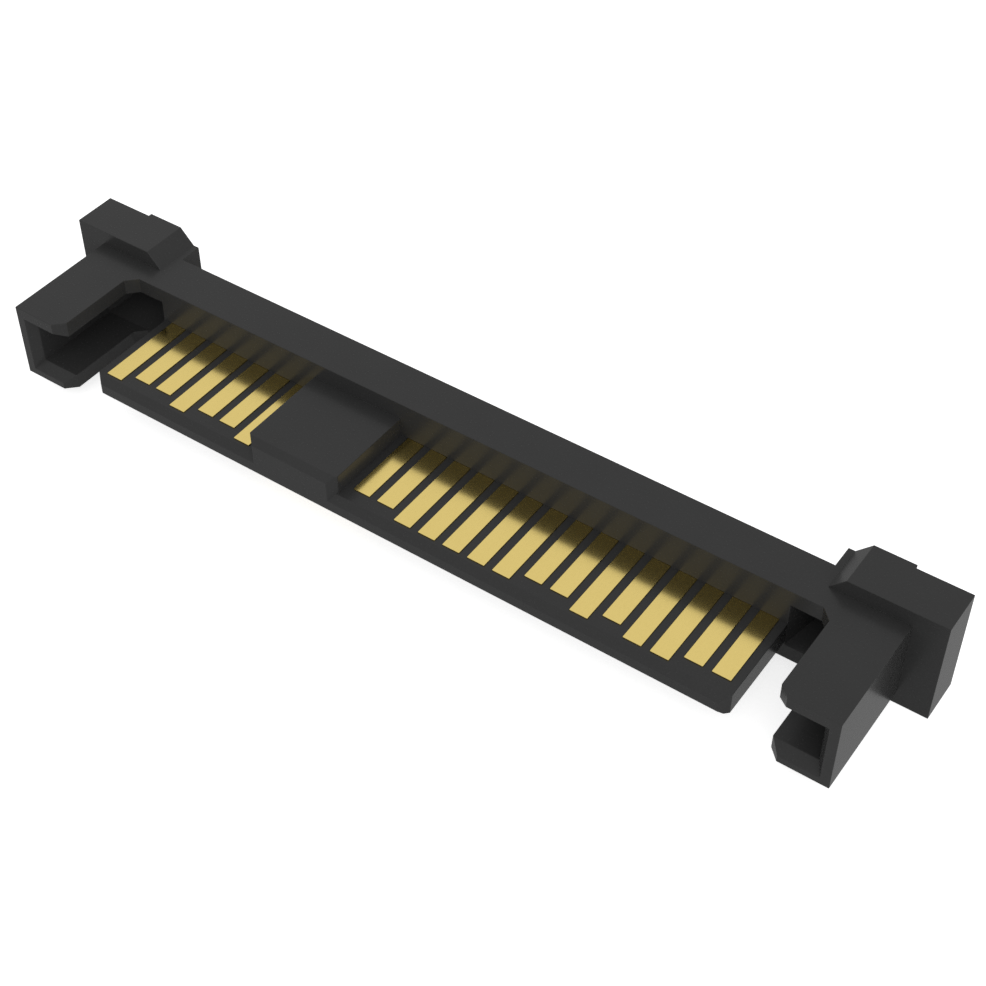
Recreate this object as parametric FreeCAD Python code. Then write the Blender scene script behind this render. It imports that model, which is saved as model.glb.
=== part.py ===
"""Board plug with a blade tongue: one moulded housing, 29 stamped contacts and two solder tabs.

X runs along the plug, -Y is the way it is pushed into its receptacle and +Z is up from the board.
The origin is on the board surface, midway along the plug, under the front face of the bar.
"""
import FreeCAD, Part
import math
import os

# Contact rows, from the first signal contact to the last power contact
PITCH = 1.27
SIGNAL_COUNT = 7
POWER_COUNT = 15
SECTION_STEP = 6.35
LOWER_COUNT = 7
LOWER_PITCH = 0.80
SIGNAL_LONG = (1, 4, 7)
POWER_LONG = (3, 4, 5, 6, 7, 10, 12, 13)
LOWER_LONG = (1, 4, 7)
FIRST_LOWER = SIGNAL_COUNT + 1

# Stamped contact strip
CONTACT_PLANE = 2.83
STRIP_THICKNESS = 0.20
PAD_WIDTH = 0.86
LOWER_PAD_WIDTH = 0.50
PAD_PROUD = 0.05
LONG_PAD = 4.40
SHORT_PAD = 3.90
SHOULDER_DEPTH = 1.30
TAIL_WIDTH = 0.50
LOWER_TAIL_WIDTH = 0.36
TAIL_SETBACK = 0.55
TAIL_BEND = 0.20
FOOT_END = 4.55
TOE_CHAMFER = 0.02

# Tongue that carries the contacts
TONGUE_THICKNESS = 1.10
TONGUE_MARGIN_LEFT = 0.89
TONGUE_MARGIN_RIGHT = 0.82
TONGUE_CORNER = 0.37
NOSE_BACK = 0.28
NOSE_DROP_TOP = 0.37
NOSE_DROP_BOTTOM = 0.19

# Key block between the signal and power contacts
KEY_LEFT_GAP = 0.67
KEY_RIGHT_GAP = 0.81
KEY_HEIGHT = 0.95
KEY_CORNER = 0.37
KEY_NOSE_BACK = 0.29
KEY_NOSE_DROP = 0.32

# Shell: the bar and the two guide arms
REACH = 4.83
SHELL_WIDTH = 42.70
SHELL_BOTTOM = 0.77
SHELL_HEIGHT = 3.90
BAR_DEPTH = 2.29
ARM_WIDTH = 2.79
ARM_CORNER = 0.50
ROOF = 0.79
FLOOR = 0.76
SIDE_WALL = 0.77

# Mouth of each guide channel and the tapered seat at its far end
MOUTH_DEPTH = 0.46
MOUTH_FLARE_SIDE = 0.33
MOUTH_FLARE_ROOF = 0.25
MOUTH_FLARE_FLOOR = 0.40
SEAT_DEPTH = 1.90
SEAT_TAPER = 0.38

# End blocks behind the arms
BLOCK_FRONT = 1.07
BLOCK_WIDTH = 45.66
BLOCK_OUTER_REAR = 3.27
BLOCK_INNER_REAR = 3.45
BLOCK_STEP_FROM_SIDE = 2.53
BLOCK_INNER_FROM_SIDE = 5.15
BLOCK_CHAMFER = 0.72
CORE_LEDGE = 0.305

# Cavities around the tails in the rear face
CAVITY_MARGIN = 0.12
CAVITY_DEPTH = 0.40

# Solder tabs under the end blocks
TAB_THICKNESS = 0.30
TAB_WIDTH = 1.60
TAB_FROM_SIDE = 3.48
TAB_LEG_FRONT = 2.35
TAB_LEG_HEIGHT = 3.10
TAB_FOOT_END = 4.83
TAB_BEND = 0.20
TAB_TIP_CHAMFER = 0.25
BARB_REACH = 0.10
BARB_HEIGHT = 0.45
BARB_BASE = 1.70

# Places worked out from the sizes above
ROW_LENGTH = (SIGNAL_COUNT - 1) * PITCH + SECTION_STEP + (POWER_COUNT - 1) * PITCH
FIRST_SIGNAL_X = -ROW_LENGTH / 2
LAST_SIGNAL_X = FIRST_SIGNAL_X + (SIGNAL_COUNT - 1) * PITCH
FIRST_POWER_X = LAST_SIGNAL_X + SECTION_STEP
LOWER_CENTRE_X = (LAST_SIGNAL_X + FIRST_POWER_X) / 2
FIRST_LOWER_X = LOWER_CENTRE_X - (LOWER_COUNT - 1) * LOWER_PITCH / 2
TONGUE_TOP = CONTACT_PLANE - PAD_PROUD
TONGUE_BOTTOM = TONGUE_TOP - TONGUE_THICKNESS
LOWER_PLANE = TONGUE_BOTTOM - PAD_PROUD
TONGUE_LEFT = -ROW_LENGTH / 2 - TONGUE_MARGIN_LEFT
TONGUE_RIGHT = ROW_LENGTH / 2 + TONGUE_MARGIN_RIGHT
SHELL_TOP = SHELL_BOTTOM + SHELL_HEIGHT
SHELL_HALF = SHELL_WIDTH / 2
ARM_INNER = SHELL_HALF - ARM_WIDTH
CHANNEL_SIDE = SHELL_HALF - SIDE_WALL
CHANNEL_LOW = SHELL_BOTTOM + FLOOR
CHANNEL_HIGH = SHELL_TOP - ROOF
BLOCK_HALF = BLOCK_WIDTH / 2
BLOCK_INNER = BLOCK_HALF - BLOCK_INNER_FROM_SIDE
BLOCK_STEP = BLOCK_HALF - BLOCK_STEP_FROM_SIDE
BLOCK_TOP = SHELL_TOP + SHELL_BOTTOM
CORE_INNER = BLOCK_INNER - CORE_LEDGE
TAB_X = BLOCK_HALF - TAB_FROM_SIDE
TAIL_LEG_FRONT = BAR_DEPTH + TAIL_SETBACK

# Extra length of a cutting tool past the face that it cuts
OVERCUT = 1.0


def vec(x, y, z):
    """A point or direction."""
    return FreeCAD.Vector(x, y, z)


def prism(points, along):
    """A closed outline of points, pushed along a vector into a solid."""
    loop = [vec(*point) for point in points]
    wire = Part.makePolygon(loop + [loop[0]])
    return Part.Face(wire).extrude(vec(*along))


def slab(outline, low, high):
    """An outline in plan, raised from one height to another."""
    return prism([(x, y, low) for x, y in outline], (0, 0, high - low))


def bar_along_x(section, left, right):
    """A section of (y, z) points, run from left to right."""
    return prism([(left, y, z) for y, z in section], (right - left, 0, 0))


def bar_along_y(section, front, rear):
    """A section of (x, z) points, run from front to rear."""
    return prism([(x, front, z) for x, z in section], (0, rear - front, 0))


def box(x_range, y_range, z_range):
    """A box between two corners, given as ranges."""
    corner = vec(x_range[0], y_range[0], z_range[0])
    size = (x_range[1] - x_range[0], y_range[1] - y_range[0], z_range[1] - z_range[0])
    return Part.makeBox(*size, corner)


def tapered(front, front_y, rear, rear_y):
    """A hollow's shape between two rectangles, each (x_low, x_high, z_low, z_high)."""
    wires = []
    for (x_low, x_high, z_low, z_high), y in ((front, front_y), (rear, rear_y)):
        corners = [(x_low, z_low), (x_high, z_low), (x_high, z_high), (x_low, z_high)]
        loop = [vec(x, y, z) for x, z in corners]
        wires.append(Part.makePolygon(loop + [loop[0]]))
    return Part.makeLoft(wires, True, True)


def mirrored(shape):
    """The same shape on the other side of the plug's middle."""
    return shape.mirror(vec(0, 0, 0), vec(1, 0, 0))


def both_ends(shape):
    """A shape and its mirror image."""
    return [shape, mirrored(shape)]


def strip_profile(high, start, leg_front, end, thickness, bend):
    """Side outline of a strip that runs back, turns down and ends in a foot on the board.

    The strip's upper face is at height high, and it starts at start and ends at end.
    """
    outer = bend + thickness
    diagonal = math.sqrt(0.5)
    leg_rear = leg_front + thickness
    upper = (leg_front - bend, high - outer)
    lower = (leg_rear + bend, outer)
    x = 0

    def line(a, b):
        return Part.LineSegment(vec(x, *a), vec(x, *b)).toShape()

    def arc(centre, radius, a, middle, b):
        points = [(centre[0] + radius * v[0], centre[1] + radius * v[1]) for v in (a, middle, b)]
        return Part.Arc(*[vec(x, *point) for point in points]).toShape()

    edges = [
        line((start, high - thickness), (start, high)),
        line((start, high), (upper[0], high)),
        arc(upper, outer, (0, 1), (diagonal, diagonal), (1, 0)),
        line((leg_rear, upper[1]), (leg_rear, outer)),
        arc(lower, bend, (-1, 0), (-diagonal, -diagonal), (0, -1)),
        line((lower[0], thickness), (end, thickness)),
        line((end, thickness), (end, 0)),
        line((end, 0), (lower[0], 0)),
        arc(lower, outer, (0, -1), (-diagonal, -diagonal), (-1, 0)),
        line((leg_front, outer), (leg_front, upper[1])),
        arc(upper, bend, (1, 0), (diagonal, diagonal), (0, 1)),
        line((upper[0], high - thickness), (start, high - thickness)),
    ]
    return Part.Face(Part.Wire(edges))


def tail(x, width, high):
    """The narrow half of a contact: out of the bar, down to the board and back along it."""
    face = strip_profile(high, SHOULDER_DEPTH, TAIL_LEG_FRONT, FOOT_END, STRIP_THICKNESS, TAIL_BEND)
    face.translate(vec(x - width / 2, 0, 0))
    return face.extrude(vec(width, 0, 0))


def contact(x, pad_width, tail_width, pad_length, high):
    """One stamped contact: a flat blade on the tongue and a bent tail behind the bar."""
    half = pad_width / 2
    low = high - STRIP_THICKNESS
    toe = [(x - half, -pad_length + TOE_CHAMFER), (x - half + TOE_CHAMFER, -pad_length)]
    heel = [(x + half - TOE_CHAMFER, -pad_length), (x + half, -pad_length + TOE_CHAMFER)]
    outline = toe + heel + [(x + half, SHOULDER_DEPTH), (x - half, SHOULDER_DEPTH)]
    return slab(outline, low, high).fuse(tail(x, tail_width, high)).removeSplitter()


def pad_length(number, long_numbers):
    """Ground and pre-charge contacts reach further, so that they meet first."""
    return LONG_PAD if number in long_numbers else SHORT_PAD


def contacts():
    """Every contact by name, each a separate stamping."""
    pieces = {}
    for i in range(SIGNAL_COUNT):
        x = FIRST_SIGNAL_X + i * PITCH
        length = pad_length(i + 1, SIGNAL_LONG)
        pieces[f"signal_contact_{i + 1:02d}"] = contact(x, PAD_WIDTH, TAIL_WIDTH, length, CONTACT_PLANE)
    for i in range(LOWER_COUNT):
        x = FIRST_LOWER_X + i * LOWER_PITCH
        length = pad_length(i + 1, LOWER_LONG)
        high = LOWER_PLANE + STRIP_THICKNESS
        name = f"signal_contact_{FIRST_LOWER + i:02d}"
        pieces[name] = contact(x, LOWER_PAD_WIDTH, LOWER_TAIL_WIDTH, length, high)
    for i in range(POWER_COUNT):
        x = FIRST_POWER_X + i * PITCH
        length = pad_length(i + 1, POWER_LONG)
        pieces[f"power_contact_{i + 1:02d}"] = contact(x, PAD_WIDTH, TAIL_WIDTH, length, CONTACT_PLANE)
    return pieces


def tail_cavities():
    """Shallow cavities in the rear face, one around each tail."""
    rows = []
    for i in range(SIGNAL_COUNT):
        rows.append((FIRST_SIGNAL_X + i * PITCH, TAIL_WIDTH, CONTACT_PLANE))
    for i in range(POWER_COUNT):
        rows.append((FIRST_POWER_X + i * PITCH, TAIL_WIDTH, CONTACT_PLANE))
    for i in range(LOWER_COUNT):
        x = FIRST_LOWER_X + i * LOWER_PITCH
        rows.append((x, LOWER_TAIL_WIDTH, LOWER_PLANE + STRIP_THICKNESS))
    cavities = []
    for x, width, high in rows:
        reach = width / 2 + CAVITY_MARGIN
        span = (high - STRIP_THICKNESS - CAVITY_MARGIN, high + CAVITY_MARGIN)
        cavities.append(box((x - reach, x + reach), (BAR_DEPTH - CAVITY_DEPTH, BAR_DEPTH + OVERCUT), span))
    return cavities


def tongue():
    """The blade that goes into the receptacle, with a bevelled nose and cut corners."""
    nose = -REACH + NOSE_BACK
    section = [
        (0, TONGUE_BOTTOM),
        (-REACH + NOSE_DROP_BOTTOM, TONGUE_BOTTOM),
        (-REACH, TONGUE_BOTTOM + NOSE_DROP_BOTTOM),
        (-REACH, TONGUE_TOP - NOSE_DROP_TOP),
        (nose, TONGUE_TOP),
        (0, TONGUE_TOP),
    ]
    blade = bar_along_x(section, TONGUE_LEFT, TONGUE_RIGHT)
    return blade.common(corner_cut_plan(TONGUE_LEFT, TONGUE_RIGHT, TONGUE_CORNER))


def corner_cut_plan(left, right, corner):
    """Plan of a block that reaches forward from the bar and has its two front corners cut."""
    outline = [
        (left, 0),
        (left, -REACH + corner),
        (left + corner, -REACH),
        (right - corner, -REACH),
        (right, -REACH + corner),
        (right, 0),
    ]
    return slab(outline, TONGUE_BOTTOM, SHELL_TOP)


def key_block():
    """The raised block between the two groups of contacts."""
    left = LAST_SIGNAL_X + KEY_LEFT_GAP
    right = FIRST_POWER_X - KEY_RIGHT_GAP
    top = CONTACT_PLANE + KEY_HEIGHT
    section = [
        (0, TONGUE_BOTTOM + NOSE_DROP_BOTTOM),
        (-REACH, TONGUE_BOTTOM + NOSE_DROP_BOTTOM),
        (-REACH, top - KEY_NOSE_DROP),
        (-REACH + KEY_NOSE_BACK, top),
        (0, top),
    ]
    return bar_along_x(section, left, right).common(corner_cut_plan(left, right, KEY_CORNER))


def shell_plan():
    """Plan of the bar with an arm at each end."""
    right = [
        (SHELL_HALF, BAR_DEPTH),
        (SHELL_HALF, -REACH),
        (ARM_INNER + ARM_CORNER, -REACH),
        (ARM_INNER, -REACH + ARM_CORNER),
        (ARM_INNER, -ARM_CORNER),
        (ARM_INNER - ARM_CORNER, 0),
    ]
    left = [(-x, y) for x, y in reversed(right)]
    return right + left


def channel(tongue_end):
    """The guide channel of the right arm, with its flared mouth and the tapered seat beside the tongue."""
    inside = ARM_INNER - ARM_CORNER - OVERCUT
    straight = box((inside, CHANNEL_SIDE), (-REACH, 0), (CHANNEL_LOW, CHANNEL_HIGH))
    wide = (
        inside,
        CHANNEL_SIDE + MOUTH_FLARE_SIDE,
        CHANNEL_LOW - MOUTH_FLARE_FLOOR,
        CHANNEL_HIGH + MOUTH_FLARE_ROOF,
    )
    narrow = (inside, CHANNEL_SIDE, CHANNEL_LOW, CHANNEL_HIGH)
    mouth = tapered(wide, -REACH, narrow, -REACH + MOUTH_DEPTH)
    shrink = SEAT_DEPTH * SEAT_TAPER
    opening = (tongue_end, CHANNEL_SIDE, CHANNEL_LOW, CHANNEL_HIGH)
    end = (tongue_end + shrink, CHANNEL_SIDE - shrink, CHANNEL_LOW + shrink, CHANNEL_HIGH - shrink)
    seat = tapered(opening, 0, end, SEAT_DEPTH)
    return straight.fuse([mouth, seat])


def end_block():
    """The right end block: a bevelled flange with a raised rear pad and a core beside the bar."""
    ledge = [
        (BLOCK_INNER + BLOCK_CHAMFER, 0),
        (BLOCK_INNER, SHELL_BOTTOM),
        (BLOCK_INNER, SHELL_TOP),
        (BLOCK_INNER + BLOCK_CHAMFER, BLOCK_TOP),
    ]
    flange = bar_along_y(ledge + [(BLOCK_HALF, BLOCK_TOP), (BLOCK_HALF, 0)], BLOCK_FRONT, BLOCK_OUTER_REAR)
    pad = bar_along_y(ledge + [(BLOCK_STEP, BLOCK_TOP), (BLOCK_STEP, 0)], BLOCK_FRONT, BLOCK_INNER_REAR)
    core = box((CORE_INNER, BLOCK_STEP), (BLOCK_FRONT, BLOCK_INNER_REAR), (SHELL_BOTTOM, SHELL_TOP))
    return flange.fuse([pad, core])


def solder_tab():
    """The right solder tab: a leg pressed up into the end block and a foot on the board."""
    left = TAB_X - TAB_WIDTH / 2
    right = TAB_X + TAB_WIDTH / 2
    leg_rear = TAB_LEG_FRONT + TAB_THICKNESS
    outer = TAB_BEND + TAB_THICKNESS
    diagonal = math.sqrt(0.5)
    centre = (leg_rear + TAB_BEND, outer)

    def at(point):
        return vec(left, *point)

    def swing(radius, direction):
        return (centre[0] + radius * direction[0], centre[1] + radius * direction[1])

    corner = (-diagonal, -diagonal)
    edges = [
        Part.LineSegment(at((TAB_LEG_FRONT, TAB_LEG_HEIGHT)), at((leg_rear, TAB_LEG_HEIGHT))),
        Part.LineSegment(at((leg_rear, TAB_LEG_HEIGHT)), at((leg_rear, outer))),
        Part.Arc(at(swing(TAB_BEND, (-1, 0))), at(swing(TAB_BEND, corner)), at(swing(TAB_BEND, (0, -1)))),
        Part.LineSegment(at((centre[0], TAB_THICKNESS)), at((TAB_FOOT_END, TAB_THICKNESS))),
        Part.LineSegment(at((TAB_FOOT_END, TAB_THICKNESS)), at((TAB_FOOT_END, 0))),
        Part.LineSegment(at((TAB_FOOT_END, 0)), at((centre[0], 0))),
        Part.Arc(at(swing(outer, (0, -1))), at(swing(outer, corner)), at(swing(outer, (-1, 0)))),
        Part.LineSegment(at((TAB_LEG_FRONT, outer)), at((TAB_LEG_FRONT, TAB_LEG_HEIGHT))),
    ]
    bent = Part.Face(Part.Wire([edge.toShape() for edge in edges])).extrude(vec(TAB_WIDTH, 0, 0))
    shoulder = TAB_LEG_HEIGHT - TAB_TIP_CHAMFER
    tip = []
    for side, inward in ((left, 1), (right, -1)):
        wedge = [(side, shoulder), (side, TAB_LEG_HEIGHT), (side + inward * TAB_TIP_CHAMFER, TAB_LEG_HEIGHT)]
        tip.append(bar_along_y(wedge, TAB_LEG_FRONT, leg_rear))
    return bent.cut(tip).fuse(barbs(left, right, leg_rear)).removeSplitter()


def barbs(left, right, leg_rear):
    """Saw teeth on the edges of a solder tab's leg, which bite into the moulding."""
    teeth = []
    for side, outward in ((left, -1), (right, 1)):
        section = [
            (side, BARB_BASE),
            (side + outward * BARB_REACH, BARB_BASE),
            (side, BARB_BASE + BARB_HEIGHT),
        ]
        teeth.append(bar_along_y(section, TAB_LEG_FRONT, leg_rear))
    return teeth


def tab_relief():
    """Square corner under the bend of the right solder tab, left open in the moulding."""
    reach = TAB_BEND + TAB_THICKNESS
    sides = (TAB_X - TAB_WIDTH / 2, TAB_X + TAB_WIDTH / 2)
    return box(sides, (TAB_LEG_FRONT, TAB_LEG_FRONT + reach), (-OVERCUT, reach))


def housing(contact_solids, tab_solids):
    """The moulding, with a groove, a passage and a cavity for each contact and a slot for each tab."""
    body = slab(shell_plan(), SHELL_BOTTOM, SHELL_TOP)
    body = body.fuse([tongue(), key_block()] + both_ends(end_block()))
    channels = [channel(TONGUE_RIGHT), mirrored(channel(-TONGUE_LEFT))]
    hollows = channels + both_ends(tab_relief()) + tail_cavities()
    body = body.cut(hollows)
    body = body.cut(contact_solids + tab_solids)
    return body.removeSplitter()


def write(name, shape):
    """Save one piece, after checking that it is one sound solid."""
    if len(shape.Solids) != 1 or not shape.isValid():
        raise ValueError(name + " is not one sound solid")
    shape.exportStep(os.path.join("parts", name + ".step"))


def main():
    """Build every piece and write it to the parts folder."""
    os.makedirs("parts", exist_ok=True)
    stampings = contacts()
    tabs = dict(zip(("solder_tab_right", "solder_tab_left"), both_ends(solder_tab())))
    write("housing", housing(list(stampings.values()), list(tabs.values())))
    for name, shape in {**stampings, **tabs}.items():
        write(name, shape)


main()
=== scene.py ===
"""Looks of the board plug: its moulding, stampings and solder tabs, on a pale studio floor."""
import logging
import math
from contextlib import contextmanager
from dataclasses import dataclass
from enum import Enum
from typing import Callable, Iterator

import bmesh
import bpy
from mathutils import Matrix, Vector


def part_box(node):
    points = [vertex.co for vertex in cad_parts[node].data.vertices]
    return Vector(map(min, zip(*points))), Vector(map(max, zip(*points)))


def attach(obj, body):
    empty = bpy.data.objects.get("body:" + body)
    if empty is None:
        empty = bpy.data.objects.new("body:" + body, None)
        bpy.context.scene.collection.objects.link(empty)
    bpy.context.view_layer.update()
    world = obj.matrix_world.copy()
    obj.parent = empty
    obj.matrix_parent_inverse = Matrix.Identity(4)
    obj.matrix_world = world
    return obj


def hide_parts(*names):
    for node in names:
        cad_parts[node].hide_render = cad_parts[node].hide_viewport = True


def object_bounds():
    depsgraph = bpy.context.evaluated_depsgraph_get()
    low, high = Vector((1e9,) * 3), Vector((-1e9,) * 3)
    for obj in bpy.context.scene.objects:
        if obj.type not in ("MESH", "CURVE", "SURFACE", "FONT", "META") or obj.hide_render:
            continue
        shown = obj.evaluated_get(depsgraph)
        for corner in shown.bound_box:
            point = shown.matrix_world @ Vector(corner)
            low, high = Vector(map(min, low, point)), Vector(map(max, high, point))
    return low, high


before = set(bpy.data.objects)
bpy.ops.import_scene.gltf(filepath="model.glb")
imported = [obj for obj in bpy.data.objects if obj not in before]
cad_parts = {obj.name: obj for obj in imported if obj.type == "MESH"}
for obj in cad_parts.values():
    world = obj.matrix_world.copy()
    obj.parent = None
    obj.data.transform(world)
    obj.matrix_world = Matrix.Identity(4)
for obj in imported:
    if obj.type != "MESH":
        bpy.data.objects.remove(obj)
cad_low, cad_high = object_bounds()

# Lengths are in metres and angles in degrees, unless a docstring says otherwise. Points within
# TOUCH of each other count as one, and a face looks along an axis when that part of its normal
# is over FACING.
LOG = logging.getLogger("drive_plug")
MM = 0.001
TOUCH = 0.001 * MM
FACING = 0.9
BEND_STEPS = 8
EDGE_SEGMENTS = 2
SMOOTH_WITHIN = 50.0
FLAT_FACE_WEIGHT = 100
QUARTER_TURN = math.pi / 2
BODY = "root"
Rgb = tuple[float, float, float]


# Working in Blender's edit mode

def pick_only(piece: bpy.types.Object) -> None:
    """Select one object alone and make it the active one.

    Args:
        piece: The object that the next operators act on.
    """
    bpy.ops.object.select_all(action="DESELECT")
    piece.select_set(True)
    bpy.context.view_layer.objects.active = piece


@contextmanager
def shaping(piece: bpy.types.Object) -> Iterator[None]:
    """Hold one object in edit mode, with faces as what is selected.

    Args:
        piece: The mesh object to shape.
    """
    pick_only(piece)
    bpy.ops.object.mode_set(mode="EDIT")
    bpy.ops.mesh.select_mode(type="FACE")
    yield
    bpy.ops.object.mode_set(mode="OBJECT")


def select_faces(piece: bpy.types.Object, wanted: Callable[[bmesh.types.BMFace], bool]) -> None:
    """Select, in edit mode, just the faces that pass a test.

    Args:
        piece: The object in edit mode.
        wanted: Says whether a face is selected.
    """
    bpy.ops.mesh.select_mode(type="FACE")
    bpy.ops.mesh.select_all(action="DESELECT")
    mesh = bmesh.from_edit_mesh(piece.data)
    for face in mesh.faces:
        face.select_set(wanted(face))
    bmesh.update_edit_mesh(piece.data)


def select_edges(piece: bpy.types.Object, wanted: Callable[[Vector, Vector], bool]) -> None:
    """Select, in edit mode, just the edges whose two ends pass a test.

    Args:
        piece: The object in edit mode.
        wanted: Says whether an edge between two points is selected.
    """
    bpy.ops.mesh.select_mode(type="EDGE")
    bpy.ops.mesh.select_all(action="DESELECT")
    mesh = bmesh.from_edit_mesh(piece.data)
    for edge in mesh.edges:
        edge.select_set(wanted(edge.verts[0].co, edge.verts[1].co))
    bmesh.update_edit_mesh(piece.data)


def add_block(name: str, low: Vector, high: Vector) -> bpy.types.Object:
    """Add a box between two corners, with its object at the origin.

    Args:
        name: The piece's name.
        low: The lowest corner, in metres.
        high: The highest corner, in metres.

    Returns:
        The new object.
    """
    bpy.ops.object.select_all(action="DESELECT")
    bpy.ops.mesh.primitive_cube_add(size=1, location=(low + high) / 2)
    piece = bpy.context.object
    piece.name = name
    piece.data.name = name
    piece.scale = high - low
    bpy.ops.object.transform_apply(location=True, rotation=True, scale=True)
    return piece


def pull(distance: Vector) -> None:
    """Extrude the selected face.

    Args:
        distance: How far and which way, in metres.
    """
    bpy.ops.mesh.extrude_region_move(TRANSFORM_OT_translate={"value": distance})


def bend(centre: Vector, angle: float) -> None:
    """Sweep the selected face round an axis along X, as a press brake bends strip.

    Args:
        centre: A point on the axis.
        angle: The turn in radians, from +Z towards +Y.
    """
    bpy.ops.mesh.spin(steps=BEND_STEPS, angle=angle, center=centre, axis=(1, 0, 0))


def round_edges(piece: bpy.types.Object, radius: float, least_angle: float) -> None:
    """Round the outer edges of a piece that are sharper than an angle.

    Args:
        piece: The object to finish.
        radius: Width of the rounding, in metres.
        least_angle: Angle between two faces, in degrees, from which their edge is rounded.
    """
    with shaping(piece):
        bpy.ops.mesh.select_mode(type="EDGE")
        bpy.ops.mesh.select_all(action="DESELECT")
        mesh = bmesh.from_edit_mesh(piece.data)
        for edge in mesh.edges:
            sharp = edge.is_convex and edge.calc_face_angle(0.0) > math.radians(least_angle)
            edge.select_set(sharp)
        bmesh.update_edit_mesh(piece.data)
        bpy.ops.mesh.bevel(offset=radius, segments=EDGE_SEGMENTS, clamp_overlap=False)


def smooth_bends(piece: bpy.types.Object) -> None:
    """Shade the bends of a strip as curves, and keep its flat faces flat.

    Args:
        piece: The bent strip.
    """
    pick_only(piece)
    bpy.ops.object.shade_smooth_by_angle(angle=math.radians(SMOOTH_WITHIN))
    normals = piece.modifiers.new("flat_faces", "WEIGHTED_NORMAL")
    normals.keep_sharp = True
    normals.weight = FLAT_FACE_WEIGHT
    bpy.ops.object.modifier_apply(modifier=normals.name)


# Node groups and finishes

class Graph:
    """A small helper that adds nodes to a tree and wires them."""

    def __init__(self, tree: bpy.types.NodeTree) -> None:
        """Empty a tree and work on it.

        Args:
            tree: The node tree of a material, a world or a group.
        """
        self.tree = tree
        tree.nodes.clear()

    def add(self, kind: str, **inputs: object) -> bpy.types.Node:
        """Add a node and give its inputs a value or a wire.

        Args:
            kind: The node's type name.
            **inputs: A value or an output socket for each input; underscores stand for spaces.

        Returns:
            The new node.
        """
        return self.fill(self.tree.nodes.new(kind), inputs)

    def add_group(self, group: bpy.types.NodeTree, **inputs: object) -> bpy.types.Node:
        """Place a node group and give its inputs a value or a wire.

        Args:
            group: The group's tree.
            **inputs: As for add.

        Returns:
            The new node.
        """
        node = self.tree.nodes.new("ShaderNodeGroup")
        node.node_tree = group
        return self.fill(node, inputs)

    def fill(self, node: bpy.types.Node, inputs: dict[str, object]) -> bpy.types.Node:
        """Give a node's inputs a value or a wire.

        Args:
            node: The node.
            inputs: A value or an output socket for each name; underscores stand for spaces.

        Returns:
            The same node.
        """
        for name, value in inputs.items():
            self.feed(node.inputs[name.replace("_", " ")], value)
        return node

    def feed(self, socket: bpy.types.NodeSocket, value: object) -> None:
        """Set a socket, or wire it where the value is an output.

        Args:
            socket: The input to set.
            value: A plain value or an output socket.
        """
        if isinstance(value, bpy.types.NodeSocket):
            self.tree.links.new(value, socket)
        else:
            socket.default_value = value

    def maths(self, operation: str, first: object, second: object = 0.0) -> bpy.types.NodeSocket:
        """Combine two numbers.

        Args:
            operation: The Math node's operation.
            first: Its first value or wire.
            second: Its second value or wire.

        Returns:
            The result.
        """
        node = self.tree.nodes.new("ShaderNodeMath")
        node.operation = operation
        self.feed(node.inputs[0], first)
        self.feed(node.inputs[1], second)
        return node.outputs[0]

    def blend(self, mask: object, first: object, second: object) -> bpy.types.NodeSocket:
        """Mix two colours by a mask.

        Args:
            mask: From 0, the first colour, to 1, the second.
            first: A colour or wire.
            second: A colour or wire.

        Returns:
            The mixed colour.
        """
        node = self.tree.nodes.new("ShaderNodeMix")
        node.data_type = "RGBA"
        self.feed(node.inputs["Factor"], mask)
        colours = [socket for socket in node.inputs if socket.type == "RGBA"]
        self.feed(colours[0], first)
        self.feed(colours[1], second)
        return next(socket for socket in node.outputs if socket.type == "RGBA")

    def spread(self, value: object, low: object, high: object) -> bpy.types.NodeSocket:
        """Map 0 to 1 onto low to high.

        Args:
            value: A number or wire from 0 to 1.
            low: The result at 0.
            high: The result at 1.

        Returns:
            The mapped number.
        """
        span = self.maths("SUBTRACT", high, low)
        return self.maths("ADD", self.maths("MULTIPLY", value, span), low)


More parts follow.
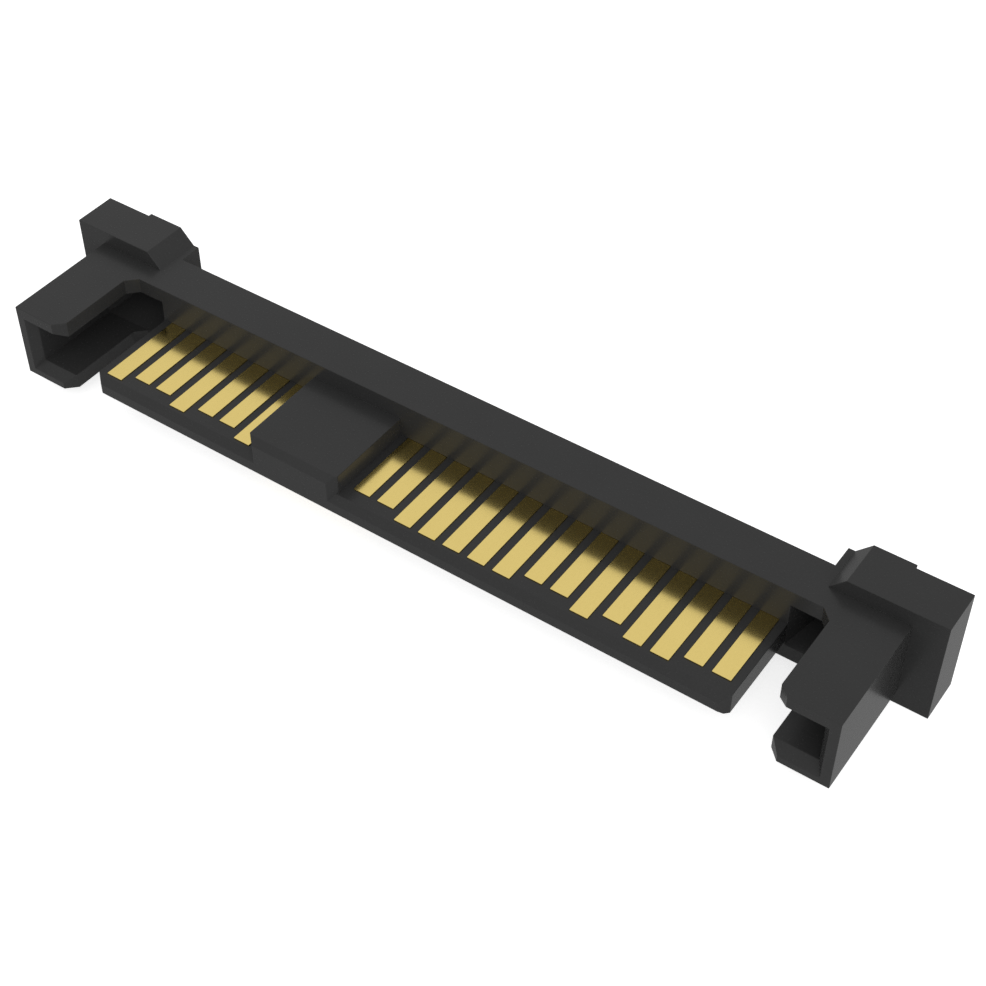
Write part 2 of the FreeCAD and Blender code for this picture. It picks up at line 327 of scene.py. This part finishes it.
class SurfaceGrain:
    """The group that every finish shares: a fine grain, a broad mottle and a height for the bump."""

    NAME = "surface_grain"
    NUMBERS = {"Grain Scale": 12000.0, "Mottle Scale": 500.0, "Contrast": 1.0}
    EVEN = (1.0, 1.0, 1.0)
    OUTPUTS = ("Grain", "Mottle", "Height")
    GRAIN_NOISE = {"Detail": 3.0, "Roughness": 0.6}
    MOTTLE_NOISE = {"Detail": 4.0, "Roughness": 0.55}
    MIDDLE = 0.5
    GRAIN_HEIGHT = 0.7
    MOTTLE_HEIGHT = 0.3

    @classmethod
    def tree(cls) -> bpy.types.NodeTree:
        """Build the group at its first use.

        Returns:
            The node group.
        """
        if cls.NAME in bpy.data.node_groups:
            return bpy.data.node_groups[cls.NAME]
        group = bpy.data.node_groups.new(cls.NAME, "ShaderNodeTree")
        for name, value in cls.NUMBERS.items():
            socket = group.interface.new_socket(name=name, in_out="INPUT", socket_type="NodeSocketFloat")
            socket.default_value = value
        stretch = group.interface.new_socket(name="Stretch", in_out="INPUT", socket_type="NodeSocketVector")
        stretch.default_value = cls.EVEN
        for name in cls.OUTPUTS:
            group.interface.new_socket(name=name, in_out="OUTPUT", socket_type="NodeSocketFloat")
        graph = Graph(group)
        given = graph.add("NodeGroupInput").outputs
        place = graph.add("ShaderNodeTexCoord").outputs["Object"]
        drawn = graph.add("ShaderNodeMapping", Vector=place, Scale=given["Stretch"]).outputs["Vector"]
        grain = graph.add(
            "ShaderNodeTexNoise", Vector=drawn, Scale=given["Grain Scale"], **cls.GRAIN_NOISE
        ).outputs[0]
        mottle = graph.add(
            "ShaderNodeTexNoise", Vector=place, Scale=given["Mottle Scale"], **cls.MOTTLE_NOISE
        ).outputs[0]
        swing = graph.maths("MULTIPLY", graph.maths("SUBTRACT", grain, cls.MIDDLE), given["Contrast"])
        clear = graph.add("ShaderNodeClamp", Value=graph.maths("ADD", swing, cls.MIDDLE)).outputs[0]
        fine = graph.maths("MULTIPLY", clear, cls.GRAIN_HEIGHT)
        broad = graph.maths("MULTIPLY", mottle, cls.MOTTLE_HEIGHT)
        height = graph.maths("ADD", fine, broad)
        graph.add("NodeGroupOutput", Grain=clear, Mottle=mottle, Height=height)
        return group


@dataclass(frozen=True)
class Finish:
    """A surface: two tones that its grain and mottle mix, its gloss and its relief in metres.

    The two noise scales are in features per metre, and the rest are plain shares from 0 to 1,
    but for contrast, refraction and stretch.
    """

    name: str
    slot: str
    dark: Rgb
    light: Rgb
    smoothest: float
    roughest: float
    grain_scale: float
    mottle_scale: float
    contrast: float
    relief: float
    metallic: float = 0.0
    refraction: float = 1.5
    stretch: tuple[float, float, float] = SurfaceGrain.EVEN
    mottle_share: float = 0.5

    def material(self) -> bpy.types.Material:
        """Build the material once.

        Returns:
            The material, shared by all pieces with this finish.
        """
        if self.name in bpy.data.materials:
            return bpy.data.materials[self.name]
        made = bpy.data.materials.new(self.name)
        made.use_nodes = True
        graph = Graph(made.node_tree)
        grain = graph.add_group(
            SurfaceGrain.tree(),
            Grain_Scale=self.grain_scale,
            Mottle_Scale=self.mottle_scale,
            Contrast=self.contrast,
            Stretch=self.stretch,
        ).outputs
        share = graph.maths("MULTIPLY", grain["Mottle"], self.mottle_share)
        rest = graph.maths("MULTIPLY", grain["Grain"], 1.0 - self.mottle_share)
        mask = graph.maths("ADD", share, rest)
        relief = graph.add("ShaderNodeBump", Strength=1.0, Height=grain["Height"], Distance=self.relief)
        shader = graph.add(
            "ShaderNodeBsdfPrincipled",
            Base_Color=graph.blend(mask, (*self.dark, 1.0), (*self.light, 1.0)),
            Roughness=graph.spread(grain["Grain"], self.smoothest, self.roughest),
            Metallic=self.metallic,
            IOR=self.refraction,
            Normal=relief.outputs["Normal"],
        )
        graph.add("ShaderNodeOutputMaterial", Surface=shader.outputs["BSDF"])
        return made


BLACK_MOULDING = Finish(
    name="black_moulding",
    slot="housing_plastic",
    dark=(0.033, 0.033, 0.033),
    light=(0.045, 0.045, 0.045),
    smoothest=0.26,
    roughest=0.28,
    grain_scale=9000.0,
    mottle_scale=420.0,
    contrast=1.3,
    relief=0.00005 * MM,
    refraction=1.27,
)
GOLD_PLATING = Finish(
    name="gold_plating",
    slot="contact_gold",
    dark=(0.88, 0.680, 0.225),
    light=(0.96, 0.750, 0.262),
    smoothest=0.17,
    roughest=0.19,
    grain_scale=11000.0,
    mottle_scale=900.0,
    contrast=1.2,
    relief=0.00005 * MM,
    metallic=1.0,
    stretch=(1.0, 0.45, 1.0),
    mottle_share=0.3,
)
TIN_PLATING = Finish(
    name="tin_plating",
    slot="tab_tin",
    dark=(0.50, 0.50, 0.49),
    light=(0.74, 0.74, 0.72),
    smoothest=0.34,
    roughest=0.55,
    grain_scale=7000.0,
    mottle_scale=1500.0,
    contrast=1.5,
    relief=0.0015 * MM,
    metallic=1.0,
)


# Pieces of the plug

def hand_over(piece: bpy.types.Object, node: str, finish: Finish) -> None:
    """Dress a finished piece and let it stand for its CAD node.

    Args:
        piece: The finished object.
        node: The CAD node that it replaces.
        finish: Its surface.
    """
    piece.data.materials.clear()
    piece.data.materials.append(finish.material())
    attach(piece, BODY)
    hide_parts(node)
    LOG.info("%s stands for %s with %d faces", piece.name, node, len(piece.data.polygons))


@dataclass
class Moulding:
    """The one-piece housing, with the small radii that its mould leaves on each edge."""

    node: str = "housing"
    edge_radius: float = 0.020 * MM
    flat_within: float = 0.3
    sharp_from: float = 20.0

    def build(self) -> None:
        """Weld a copy of the CAD solid, clear its flat faces and round its edges."""
        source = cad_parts[self.node]
        piece = bpy.data.objects.new("housing_moulding", source.data.copy())
        bpy.context.scene.collection.objects.link(piece)
        with shaping(piece):
            bpy.ops.mesh.select_all(action="SELECT")
            bpy.ops.mesh.remove_doubles(threshold=TOUCH)
            bpy.ops.mesh.dissolve_limited(angle_limit=math.radians(self.flat_within))
        pick_only(piece)
        bpy.ops.mesh.customdata_custom_splitnormals_clear()
        bpy.ops.object.shade_flat()
        round_edges(piece, self.edge_radius, self.sharp_from)
        hand_over(piece, self.node, BLACK_MOULDING)


class Row(Enum):
    """The two faces of the tongue, each with the width of its contacts' tails in millimetres."""

    TOP = 0.50
    UNDER = 0.36


@dataclass
class Stamping:
    """One contact: a flat blade, a shoulder, and a tail bent down to a foot on the board."""

    node: str
    tail_width: float
    thickness: float = 0.20 * MM
    shoulder_rear: float = 1.30 * MM
    leg_front: float = 2.84 * MM
    bend_radius: float = 0.20 * MM
    toe_cut: float = 0.02 * MM
    edge_radius: float = 0.004 * MM
    sharp_from: float = 40.0

    def build(self) -> bpy.types.Object:
        """Shape the stamping in the box of its CAD node.

        Returns:
            The finished contact.
        """
        low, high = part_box(self.node)
        centre = (low.x + high.x) / 2
        blade_low = Vector((low.x, low.y, high.z - self.thickness))
        blade_high = Vector((high.x, self.shoulder_rear, high.z))
        piece = add_block(self.node + "_stamping", blade_low, blade_high)
        with shaping(piece):
            self.cut_toe(piece, low.y)
            self.draw_tail(piece, centre, high.x - low.x, high)
        round_edges(piece, self.edge_radius, self.sharp_from)
        smooth_bends(piece)
        return piece

    def cut_toe(self, piece: bpy.types.Object, toe: float) -> None:
        """Chamfer the two upright edges at the blade's front.

        Args:
            piece: The blade, in edit mode.
            toe: Where its front is, in Y.
        """
        select_edges(piece, lambda a, b: max(a.y, b.y) < toe + TOUCH and abs(a.x - b.x) < TOUCH)
        bpy.ops.mesh.bevel(offset=self.toe_cut, segments=1, affect="EDGES")

    def draw_tail(self, piece: bpy.types.Object, centre: float, blade_width: float, high: Vector) -> None:
        """Narrow the rear face, run it back, bend it down and end it in a foot.

        Args:
            piece: The blade, in edit mode.
            centre: Its middle in X.
            blade_width: Its width.
            high: The highest corner of the CAD node.
        """
        rear = self.shoulder_rear
        select_faces(
            piece,
            lambda face: face.normal.y > FACING and face.calc_center_median().y > rear - TOUCH,
        )
        bpy.ops.mesh.extrude_region_move()
        bpy.ops.transform.resize(
            value=(self.tail_width / blade_width, 1, 1), center_override=(centre, rear, high.z)
        )
        outer = self.bend_radius + self.thickness
        straight_end = self.leg_front - self.bend_radius
        pull(Vector((0, straight_end - rear, 0)))
        upper = Vector((centre, straight_end, high.z - outer))
        bend(upper, QUARTER_TURN)
        pull(Vector((0, 0, outer - upper.z)))
        foot_start = self.leg_front + outer
        bend(Vector((centre, foot_start, outer)), -QUARTER_TURN)
        pull(Vector((0, high.y - foot_start, 0)))
        bpy.ops.mesh.select_all(action="SELECT")
        bpy.ops.mesh.remove_doubles(threshold=TOUCH)
        bpy.ops.mesh.dissolve_degenerate(threshold=TOUCH)
        bpy.ops.mesh.normals_make_consistent(inside=False)


@dataclass
class ContactSet:
    """All stampings: the master of each kind is shaped once, and the rest are copies."""

    signal_top: int = 7
    signal_under: int = 7
    power: int = 15
    same_length: float = 0.01 * MM

    def nodes(self) -> list[tuple[str, Row]]:
        """Name each contact with its row.

        Returns:
            The CAD node names and their rows.
        """
        last = self.signal_top + self.signal_under
        named = [(f"signal_contact_{i:02d}", Row.TOP) for i in range(1, self.signal_top + 1)]
        named += [(f"signal_contact_{i:02d}", Row.UNDER) for i in range(self.signal_top + 1, last + 1)]
        return named + [(f"power_contact_{i:02d}", Row.TOP) for i in range(1, self.power + 1)]

    def build(self) -> None:
        """Shape or copy every contact and put it in place of its CAD node."""
        masters: dict[tuple[Row, int], tuple[bpy.types.Object, float]] = {}
        for node, row in self.nodes():
            low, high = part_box(node)
            kind = (row, round((high.y - low.y) / self.same_length))
            if kind not in masters:
                piece = Stamping(node, row.value * MM).build()
                masters[kind] = (piece, low.x)
            else:
                master, start = masters[kind]
                piece = self.copy(master, node, low.x - start)
            hand_over(piece, node, GOLD_PLATING)

    @staticmethod
    def copy(master: bpy.types.Object, node: str, along: float) -> bpy.types.Object:
        """Copy a stamping to another place along the plug.

        Args:
            master: The shaped stamping.
            node: The CAD node that the copy is for.
            along: The shift in X, in metres.

        Returns:
            The copy, with a mesh of its own.
        """
        piece = bpy.data.objects.new(node + "_stamping", master.data.copy())
        bpy.context.scene.collection.objects.link(piece)
        pick_only(piece)
        bpy.ops.transform.translate(value=(along, 0, 0))
        bpy.ops.object.transform_apply(location=True, rotation=True, scale=True)
        return piece


@dataclass
class SolderTab:
    """A hold-down: a barbed leg pressed into the end block, bent into a foot on the board."""

    node: str
    thickness: float = 0.30 * MM
    bend_radius: float = 0.20 * MM
    barb_reach: float = 0.10 * MM
    barb_low: float = 1.70 * MM
    barb_high: float = 2.15 * MM
    tip_cut: float = 0.25 * MM
    edge_radius: float = 0.030 * MM
    sharp_from: float = 30.0

    def build(self) -> None:
        """Shape the tab in the box of its CAD node."""
        low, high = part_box(self.node)
        left, right = low.x + self.barb_reach, high.x - self.barb_reach
        outer = self.bend_radius + self.thickness
        piece = add_block(
            self.node + "_strip",
            Vector((left, low.y, outer)),
            Vector((right, low.y + self.thickness, high.z)),
        )
        with shaping(piece):
            select_edges(piece, lambda a, b: min(a.z, b.z) > high.z - TOUCH and abs(a.x - b.x) < TOUCH)
            bpy.ops.mesh.bevel(offset=self.tip_cut, segments=1, affect="EDGES")
            self.raise_barbs(piece, left, right)
            select_faces(
                piece,
                lambda face: face.normal.z < -FACING and face.calc_center_median().z < outer + TOUCH,
            )
            bend(Vector(((left + right) / 2, low.y + outer, outer)), -QUARTER_TURN)
            pull(Vector((0, high.y - low.y - outer, 0)))
            bpy.ops.mesh.select_all(action="SELECT")
            bpy.ops.mesh.remove_doubles(threshold=TOUCH)
            bpy.ops.mesh.normals_make_consistent(inside=False)
        round_edges(piece, self.edge_radius, self.sharp_from)
        smooth_bends(piece)
        hand_over(piece, self.node, TIN_PLATING)

    def raise_barbs(self, piece: bpy.types.Object, left: float, right: float) -> None:
        """Slice the leg at each barb and draw its lower corner out to a tooth.

        Args:
            piece: The leg, in edit mode.
            left: Its left side, in X.
            right: Its right side, in X.
        """
        level = self.barb_low + self.edge_radius
        for height in (self.barb_low, level, self.barb_high):
            bpy.ops.mesh.select_all(action="SELECT")
            bpy.ops.mesh.bisect(plane_co=(0, 0, height), plane_no=(0, 0, 1))
        for side, outward in ((left, -1), (right, 1)):
            select_edges(
                piece,
                lambda a, b: all(abs(p.x - side) < TOUCH and abs(p.z - level) < TOUCH for p in (a, b)),
            )
            bpy.ops.transform.translate(value=(outward * self.barb_reach, 0, 0))


# Studio

@dataclass(frozen=True)
class Softbox:
    """A square studio lamp that points at the plug, with its power in watts."""

    name: str
    towards: tuple[float, float, float]
    distance: float
    size: float
    power: float

    def build(self, target: Vector) -> None:
        """Hang the lamp and point it.

        Args:
            target: The point that it lights.
        """
        lamp = bpy.data.lights.new(self.name, "AREA")
        lamp.shape = "SQUARE"
        lamp.size = self.size
        lamp.energy = self.power
        hung = bpy.data.objects.new(self.name, lamp)
        bpy.context.scene.collection.objects.link(hung)
        direction = Vector(self.towards).normalized()
        hung.location = target + direction * self.distance
        hung.rotation_mode = "QUATERNION"
        hung.rotation_quaternion = direction.to_track_quat("Z", "Y")


@dataclass
class Studio:
    """Pale floor, soft light and the photograph's camera.

    The levels are strengths, where 1 shows as white.
    """

    floor_size: float = 1.2
    floor_drop: float = 0.005 * MM
    floor_tone: Rgb = (0.84, 0.84, 0.84)
    seen_lift: float = 0.74
    sky_level: float = 0.60
    mirrored_floor: float = 0.50
    mirrored_sky: float = 0.65
    azimuth: float = 34.9013
    elevation: float = 44.7692
    field_of_view: float = 30.0
    sensor: float = 36.0
    eye: tuple[float, float, float] = (0.0348884, -0.0467549, 0.0585589)
    boxes: tuple[Softbox, ...] = (
        Softbox("rear_left_softbox", (-0.41, 0.58, 0.70), 0.34, 0.34, 0.036),
        Softbox("front_right_softbox", (0.55, -0.55, 0.60), 0.40, 0.34, 0.410),
    )

    def build(self) -> None:
        """Make the floor, the lamps, the world and the camera."""
        self.lay_floor()
        for box in self.boxes:
            box.build((cad_low + cad_high) / 2)
        self.light_world()
        self.set_camera()

    def lay_floor(self) -> None:
        """Lay a pale sheet under the plug.

        The camera sees it white where nothing shades it, and mirroring surfaces see it even.
        """
        bpy.ops.object.select_all(action="DESELECT")
        bpy.ops.mesh.primitive_plane_add(size=self.floor_size, location=(0, 0, -self.floor_drop))
        floor = bpy.context.object
        floor.name = "studio_floor"
        paper = bpy.data.materials.new("white_paper")
        paper.use_nodes = True
        graph = Graph(paper.node_tree)
        matt = graph.add("ShaderNodeBsdfDiffuse", Color=(*self.floor_tone, 1.0))
        path = graph.add("ShaderNodeLightPath").outputs
        seen = graph.maths("MULTIPLY", path["Is Camera Ray"], self.seen_lift)
        glow = graph.add("ShaderNodeEmission", Strength=seen)
        both = graph.add("ShaderNodeAddShader")
        graph.feed(both.inputs[0], matt.outputs[0])
        graph.feed(both.inputs[1], glow.outputs[0])
        even = graph.add("ShaderNodeEmission", Strength=self.mirrored_floor)
        shown = graph.add("ShaderNodeMixShader", Fac=self.mirrored(graph, path))
        graph.feed(shown.inputs[1], both.outputs[0])
        graph.feed(shown.inputs[2], even.outputs[0])
        graph.add("ShaderNodeOutputMaterial", Surface=shown.outputs[0])
        floor.data.materials.append(paper)

    @staticmethod
    def mirrored(graph: Graph, path: bpy.types.bpy_prop_collection) -> bpy.types.NodeSocket:
        """Tell whether a ray comes from a mirroring surface or through glass.

        Args:
            graph: The tree that asks.
            path: The outputs of its Light Path node.

        Returns:
            1 for such a ray, otherwise 0.
        """
        return graph.maths("MAXIMUM", path["Is Glossy Ray"], path["Is Transmission Ray"])

    def light_world(self) -> None:
        """Light the scene evenly, and show the camera and the mirroring surfaces a pale background."""
        world = bpy.data.worlds.new("studio_world")
        bpy.context.scene.world = world
        world.use_nodes = True
        graph = Graph(world.node_tree)
        path = graph.add("ShaderNodeLightPath").outputs
        level = graph.spread(self.mirrored(graph, path), self.sky_level, self.mirrored_sky)
        level = graph.spread(path["Is Camera Ray"], level, 1.0)
        sky = graph.add("ShaderNodeBackground", Color=(1.0, 1.0, 1.0, 1.0), Strength=level)
        graph.add("ShaderNodeOutputWorld", Surface=sky.outputs[0])

    def set_camera(self) -> None:
        """Put the camera where the photograph was taken from."""
        lens = bpy.data.cameras.new("photo_camera")
        lens.sensor_width = self.sensor
        lens.lens = self.sensor / 2 / math.tan(math.radians(self.field_of_view / 2))
        lens.clip_start = MM
        camera = bpy.data.objects.new("photo_camera", lens)
        bpy.context.scene.collection.objects.link(camera)
        turn, rise = math.radians(self.azimuth), math.radians(self.elevation)
        back = Vector((math.sin(turn) * math.cos(rise), -math.cos(turn) * math.cos(rise), math.sin(rise)))
        camera.location = self.eye
        camera.rotation_mode = "QUATERNION"
        camera.rotation_quaternion = (-back).to_track_quat("-Z", "Y")
        bpy.context.scene.camera = camera
        bpy.context.scene.view_settings.view_transform = "Standard"


def main() -> None:
    """Build the plug piece by piece, then its studio."""
    logging.basicConfig(level=logging.INFO, format="%(name)s: %(message)s")
    Moulding().build()
    ContactSet().build()
    for side in ("left", "right"):
        SolderTab("solder_tab_" + side).build()
    Studio().build()


if __name__ == "__main__":
    main()
